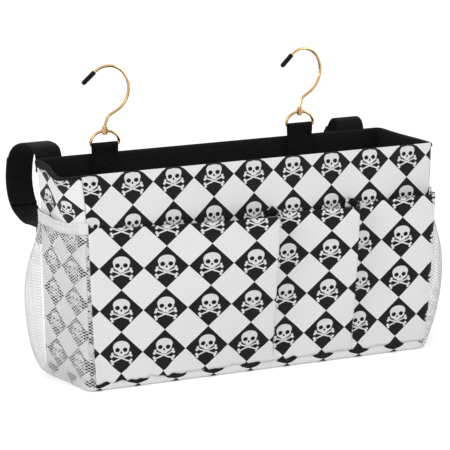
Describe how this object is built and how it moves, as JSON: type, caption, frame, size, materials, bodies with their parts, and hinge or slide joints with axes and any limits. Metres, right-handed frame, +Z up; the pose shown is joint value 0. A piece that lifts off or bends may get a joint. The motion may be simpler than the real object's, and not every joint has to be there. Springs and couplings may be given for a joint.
{
  "type": "bedside caddy",
  "caption": "Boxy fabric bedside caddy with a divided front pocket, bulging net end pockets, swivel hooks on D-rings and hook-and-loop straps behind it.",
  "frame": {"origin": "middle of the underside of the base, on the surface the bag stands on", "axes": "+X along the bag to its right end, +Y to the back wall that hangs against the rail, +Z up"},
  "size_m": [0.4046, 0.1692, 0.2707],
  "materials": {
    "printed_cloth": "plain weave with a black and white diamond print, matt",
    "lining_cloth": "plain black weave, matt",
    "webbing": "black woven webbing, matt",
    "net": "white knitted mesh",
    "elastic": "white braided elastic",
    "stiffener": "plain sheet, hidden between the cloths",
    "gold_wire": "polished light gold plating",
    "rubber_tip": "smooth black dipped rubber"
  },
  "bodies": {
    "bag": {"front_panel": "printed_cloth", "right_side_panel": "printed_cloth", "back_panel": "printed_cloth", "left_side_panel": "printed_cloth", "base_panel": "printed_cloth", "front_pocket": "printed_cloth", "front_board": "stiffener", "back_board": "stiffener", "base_board": "stiffener", "front_lining": "lining_cloth", "right_side_lining": "lining_cloth", "back_lining": "lining_cloth", "left_side_lining": "lining_cloth", "base_lining": "lining_cloth", "left_net_pocket": "net", "right_net_pocket": "net", "left_pocket_elastic": "elastic", "right_pocket_elastic": "elastic", "left_ring_tab": "webbing", "right_ring_tab": "webbing", "left_upper_strap": "webbing", "right_upper_strap": "webbing", "left_strap_anchor": "webbing", "right_strap_anchor": "webbing"},
    "left_ring": {"left_d_ring": "gold_wire"},
    "right_ring": {"right_d_ring": "gold_wire"},
    "left_swivel_hook": {"left_hook": "gold_wire", "left_hook_tip": "rubber_tip"},
    "right_swivel_hook": {"right_hook": "gold_wire", "right_hook_tip": "rubber_tip"},
    "left_flap": {"left_lower_strap": "webbing"},
    "right_flap": {"right_lower_strap": "webbing"}
  },
  "joints": [
    {"name": "left_ring_tilt", "type": "hinge", "parent": "bag", "child": "left_ring", "pos_m": [-0.1107, 0.04185, 0.1972], "axis": [1, 0, 0], "range_deg": [-120, 120]},
    {"name": "right_ring_tilt", "type": "hinge", "parent": "bag", "child": "right_ring", "pos_m": [0.0863, 0.04185, 0.1992], "axis": [1, 0, 0], "range_deg": [-120, 120]},
    {"name": "left_hook_swivel", "type": "hinge", "parent": "left_ring", "child": "left_swivel_hook", "pos_m": [-0.1107, 0.04185, 0.21], "axis": [0, 0, 1], "continuous": true},
    {"name": "right_hook_swivel", "type": "hinge", "parent": "right_ring", "child": "right_swivel_hook", "pos_m": [0.0863, 0.04185, 0.212], "axis": [0, 0, 1], "continuous": true},
    {"name": "left_strap_peel", "type": "hinge", "parent": "bag", "child": "left_flap", "pos_m": [-0.162, 0.0496, 0.12784], "axis": [-1, 0, 0], "range_deg": [0, 75]},
    {"name": "right_strap_peel", "type": "hinge", "parent": "bag", "child": "right_flap", "pos_m": [0.1455, 0.0496, 0.12784], "axis": [-1, 0, 0], "range_deg": [0, 75]}
  ]
}
